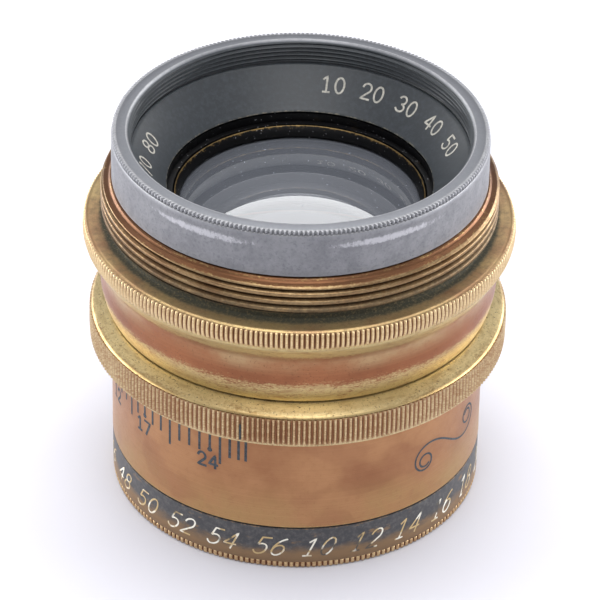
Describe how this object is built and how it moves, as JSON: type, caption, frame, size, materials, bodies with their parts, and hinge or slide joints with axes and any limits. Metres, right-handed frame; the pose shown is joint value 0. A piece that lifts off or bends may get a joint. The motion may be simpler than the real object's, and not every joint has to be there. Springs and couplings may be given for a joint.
{
  "type": "camera lens",
  "caption": "Vintage barrel lens in lacquered brass: knurled mounting shoulder with thread, knurled iris ring over a millimetre scale, screw-in lens cells at both ends.",
  "frame": {"origin": "centre of the front rim that the lens stands on", "axes": "+Z along the optical axis from the front cell to the rear cell, -Y towards the aperture scale's middle"},
  "size_m": [0.052, 0.052, 0.0481],
  "materials": {
    "lacquered_brass": "amber lacquer, worn to bare metal on its edges",
    "worn_brass": "bare pitted brass, knurled",
    "satin_aluminium": "matte, lightly oxidised",
    "worn_black": "black lacquer rubbed through to brass",
    "black_enamel": "matte black",
    "dark_steel": "blued, matte",
    "optical_glass": "polished"
  },
  "bodies": {
    "barrel": {"front_barrel": "lacquered_brass", "rear_barrel": "lacquered_brass", "iris_base_plate": "dark_steel", "iris_retaining_ring": "black_enamel"},
    "control_ring": {"iris_control_ring": "worn_brass", "iris_drive_screw": "dark_steel", "iris_cam_ring": "dark_steel"},
    "rear_lens_group": {"rear_lens_cell": "black_enamel", "rear_retaining_ring": "black_enamel", "rear_element_1": "optical_glass", "rear_element_2": "optical_glass", "rear_element_3": "optical_glass", "rear_element_4": "optical_glass"},
    "rear_cell": {"rear_cell_shell": "satin_aluminium", "rear_cell_funnel": "black_enamel"},
    "front_lens_group": {"front_lens_cell": "black_enamel", "front_retaining_ring": "black_enamel", "front_element_1": "optical_glass", "front_element_2": "optical_glass", "front_element_3": "optical_glass", "front_element_4": "optical_glass"},
    "front_cell": {"front_cell_shell": "worn_black"},
    "blade_1": {"iris_blade_1": "dark_steel"},
    "blade_2": {"iris_blade_2": "dark_steel"},
    "blade_3": {"iris_blade_3": "dark_steel"},
    "blade_4": {"iris_blade_4": "dark_steel"},
    "blade_5": {"iris_blade_5": "dark_steel"},
    "blade_6": {"iris_blade_6": "dark_steel"},
    "blade_7": {"iris_blade_7": "dark_steel"},
    "blade_8": {"iris_blade_8": "dark_steel"}
  },
  "joints": [
    {"name": "iris_ring_turn", "type": "hinge", "parent": "barrel", "child": "control_ring", "pos_m": [0, 0, 0.022], "axis": [0, 0, -1], "range_deg": [0, 80]},
    {"name": "rear_cell_travel", "type": "slide", "parent": "barrel", "child": "rear_lens_group", "axis": [0, 0, 1], "range_m": [0, 0.00375]},
    {"name": "rear_cell_unscrew", "type": "hinge", "parent": "rear_lens_group", "child": "rear_cell", "pos_m": [0, 0, 0.042], "axis": [0, 0, 1], "range_deg": [0, 1800]},
    {"name": "front_cell_travel", "type": "slide", "parent": "barrel", "child": "front_lens_group", "axis": [0, 0, -1], "range_m": [0, 0.00375]},
    {"name": "front_cell_unscrew", "type": "hinge", "parent": "front_lens_group", "child": "front_cell", "pos_m": [0, 0, 0.006], "axis": [0, 0, -1], "range_deg": [0, 1800]},
    {"name": "blade_1_pivot", "type": "hinge", "parent": "barrel", "child": "blade_1", "pos_m": [0.01638, 0.00001, 0.0175], "axis": [-0.1183, 0.0145, -0.9929], "range_deg": [0, 40]},
    {"name": "blade_2_pivot", "type": "hinge", "parent": "barrel", "child": "blade_2", "pos_m": [0.01158, 0.0116, 0.0175], "axis": [-0.0939, -0.0734, -0.9929], "range_deg": [0, 40]},
    {"name": "blade_3_pivot", "type": "hinge", "parent": "barrel", "child": "blade_3", "pos_m": [-0.00001, 0.01638, 0.0175], "axis": [-0.0145, -0.1183, -0.9929], "range_deg": [0, 40]},
    {"name": "blade_4_pivot", "type": "hinge", "parent": "barrel", "child": "blade_4", "pos_m": [-0.0116, 0.01158, 0.0175], "axis": [0.0734, -0.0939, -0.9929], "range_deg": [0, 40]},
    {"name": "blade_5_pivot", "type": "hinge", "parent": "barrel", "child": "blade_5", "pos_m": [-0.01638, -0.00001, 0.0175], "axis": [0.1183, -0.0145, -0.9929], "range_deg": [0, 40]},
    {"name": "blade_6_pivot", "type": "hinge", "parent": "barrel", "child": "blade_6", "pos_m": [-0.01158, -0.0116, 0.0175], "axis": [0.0939, 0.0734, -0.9929], "range_deg": [0, 40]},
    {"name": "blade_7_pivot", "type": "hinge", "parent": "barrel", "child": "blade_7", "pos_m": [0.00001, -0.01638, 0.0175], "axis": [0.0145, 0.1183, -0.9929], "range_deg": [0, 40]},
    {"name": "blade_8_pivot", "type": "hinge", "parent": "barrel", "child": "blade_8", "pos_m": [0.0116, -0.01158, 0.0175], "axis": [-0.0734, 0.0939, -0.9929], "range_deg": [0, 40]}
  ],
  "couplings": [
    {"joint": "rear_cell_unscrew", "follows": "rear_cell_travel", "rad_per_m": 8377.6},
    {"joint": "front_cell_unscrew", "follows": "front_cell_travel", "rad_per_m": 8377.6},
    {"joint": "blade_1_pivot", "follows": "iris_ring_turn", "ratio": 0.5},
    {"joint": "blade_2_pivot", "follows": "iris_ring_turn", "ratio": 0.5},
    {"joint": "blade_3_pivot", "follows": "iris_ring_turn", "ratio": 0.5},
    {"joint": "blade_4_pivot", "follows": "iris_ring_turn", "ratio": 0.5},
    {"joint": "blade_5_pivot", "follows": "iris_ring_turn", "ratio": 0.5},
    {"joint": "blade_6_pivot", "follows": "iris_ring_turn", "ratio": 0.5},
    {"joint": "blade_7_pivot", "follows": "iris_ring_turn", "ratio": 0.5},
    {"joint": "blade_8_pivot", "follows": "iris_ring_turn", "ratio": 0.5}
  ]
}
